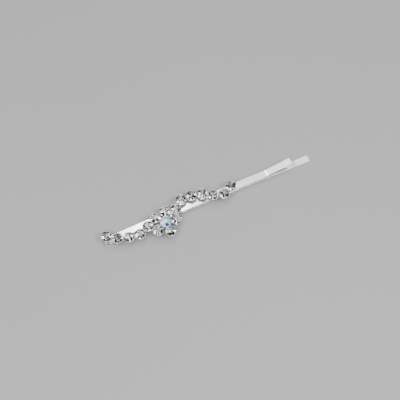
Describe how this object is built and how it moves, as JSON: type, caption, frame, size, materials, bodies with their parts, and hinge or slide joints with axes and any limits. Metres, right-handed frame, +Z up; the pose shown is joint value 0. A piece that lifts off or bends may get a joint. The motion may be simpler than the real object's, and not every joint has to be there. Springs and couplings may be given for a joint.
{
  "type": "hair clip",
  "caption": "Flat sprung hair pin with a flower and trailing chains of round crystal stones set in thin metal cups.",
  "frame": {"origin": "bottom centre of the whole clip's box as it lies on its lower blade", "axes": "+X along the pin from the fold to the tips, +Y across the blade away from the two outer petals, +Z up through the stones"},
  "size_m": [0.066, 0.011, 0.004],
  "materials": {
    "plated_spring_strip": "bright plated spring steel",
    "setting_cup": "bright plated thin metal",
    "clear_crystal": "clear faceted glass, foil backed",
    "aurora_crystal": "faceted glass with an aurora coating, foil backed",
    "solder": "plated solder, slightly rough"
  },
  "bodies": {
    "lower_blade": {"lower_blade": "plated_spring_strip", "lower_fold": "plated_spring_strip"},
    "upper_blade_and_ornament": {"flower_centre_cup": "setting_cup", "flower_centre_stone": "aurora_crystal", "left_cup_1": "setting_cup", "left_cup_2": "setting_cup", "left_cup_3": "setting_cup", "left_cup_4": "setting_cup", "left_cup_5": "setting_cup", "left_flower_link_1": "solder", "left_flower_link_2": "solder", "left_link_1": "solder", "left_link_2": "solder", "left_link_3": "solder", "left_link_4": "solder", "left_stone_1": "clear_crystal", "left_stone_2": "clear_crystal", "left_stone_3": "clear_crystal", "left_stone_4": "clear_crystal", "left_stone_5": "clear_crystal", "petal_cup_1": "setting_cup", "petal_cup_2": "setting_cup", "petal_cup_3": "setting_cup", "petal_cup_4": "setting_cup", "petal_cup_5": "setting_cup", "petal_link_1": "solder", "petal_link_2": "solder", "petal_link_3": "solder", "petal_link_4": "solder", "petal_link_5": "solder", "petal_stone_1": "clear_crystal", "petal_stone_2": "clear_crystal", "petal_stone_3": "clear_crystal", "petal_stone_4": "clear_crystal", "petal_stone_5": "clear_crystal", "right_cup_1": "setting_cup", "right_cup_2": "setting_cup", "right_cup_3": "setting_cup", "right_cup_4": "setting_cup", "right_cup_5": "setting_cup", "right_cup_6": "setting_cup", "right_cup_7": "setting_cup", "right_flower_link_1": "solder", "right_flower_link_2": "solder", "right_link_1": "solder", "right_link_2": "solder", "right_link_3": "solder", "right_link_4": "solder", "right_link_5": "solder", "right_link_6": "solder", "right_stone_1": "clear_crystal", "right_stone_2": "clear_crystal", "right_stone_3": "clear_crystal", "right_stone_4": "clear_crystal", "right_stone_5": "clear_crystal", "right_stone_6": "clear_crystal", "right_stone_7": "clear_crystal", "upper_blade": "plated_spring_strip", "upper_fold": "plated_spring_strip", "upper_tip": "plated_spring_strip"}
  },
  "joints": [
    {"name": "fold_spring", "type": "hinge", "parent": "lower_blade", "child": "upper_blade_and_ornament", "pos_m": [-0.0325, 0.0017, 0.0008], "axis": [0, -1, 0], "range_deg": [0, 10], "stiffness_Nm_per_rad": 0.05}
  ]
}
